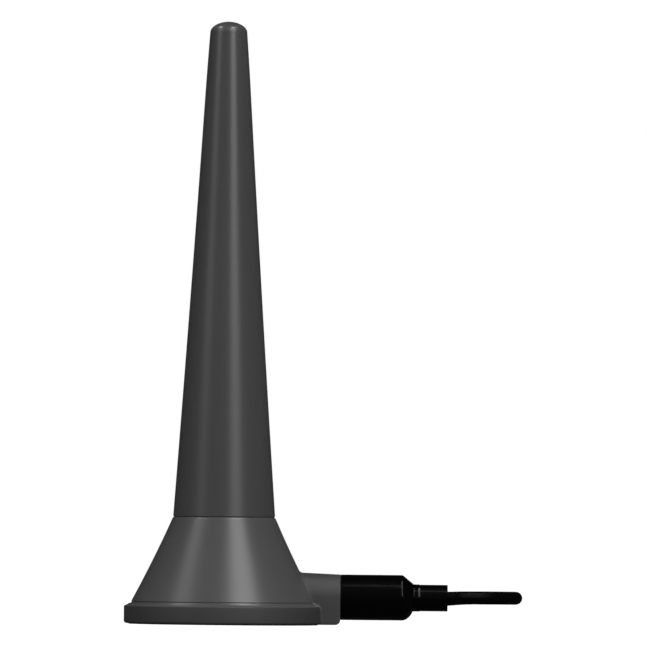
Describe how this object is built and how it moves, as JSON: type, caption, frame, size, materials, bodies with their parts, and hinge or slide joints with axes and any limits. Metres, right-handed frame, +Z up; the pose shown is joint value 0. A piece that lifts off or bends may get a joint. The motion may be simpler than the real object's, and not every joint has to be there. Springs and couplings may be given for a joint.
{
  "type": "magnetic car antenna",
  "caption": "Tapered roof antenna on a flared magnetic base, with a side cable boot and a thin coaxial cable wound into a tied hank that ends in a small screw connector.",
  "frame": {"origin": "on the roof surface, at the middle of the base pad's underside, under the mast", "axes": "+Z up the mast, +X from the mast to the cable exit, +Y towards the tied hank"},
  "size_m": [0.085, 0.1477, 0.1288],
  "materials": {
    "mast_plastic": "satin moulded dark grey",
    "base_plastic": "satin moulded dark grey",
    "black_plastic": "moulded",
    "white_plastic": "smooth",
    "black_rubber": "matte",
    "boot_rubber": "semi-gloss black",
    "cable_jacket": "smooth black",
    "tie_nylon": "moulded black",
    "brass_turned": "turned",
    "copper_wire": "bright",
    "plated_steel": "zinc plated",
    "nickel_plate": "nickel plated",
    "gold_plate": "gold plated",
    "magnet_grey": "ground",
    "board_laminate": "solder mask green",
    "ceramic_chip": "fired",
    "ferrite_dark": "ground"
  },
  "bodies": {
    "root": {"mast_sleeve": "mast_plastic", "mast_foot_plug": "black_plastic", "mast_seal_ring": "black_rubber", "mast_stud": "brass_turned", "coil_former": "white_plastic", "radiator_coil": "copper_wire", "base_housing": "base_plastic", "contact_bush": "brass_turned", "contact_spring": "plated_steel", "circuit_board": "board_laminate", "matching_capacitor": "ceramic_chip", "matching_inductor": "ferrite_dark", "steel_pot": "plated_steel", "magnet_ring": "magnet_grey", "magnet_spacer": "white_plastic", "pot_screws": "plated_steel", "base_pad": "black_rubber", "strain_relief_boot": "boot_rubber", "cable_inner": "cable_jacket", "crimp_ring": "plated_steel", "cable_braid": "copper_wire", "cable_dielectric": "white_plastic", "cable_core": "copper_wire", "cable_run": "cable_jacket", "cable_hank": "cable_jacket", "cable_tail": "cable_jacket", "hank_tie_left": "tie_nylon", "hank_tie_right": "tie_nylon", "connector_sleeve": "boot_rubber", "connector_ferrule": "nickel_plate", "connector_body": "nickel_plate", "connector_insulator": "white_plastic", "connector_contact": "gold_plate"}
  },
  "joints": []
}
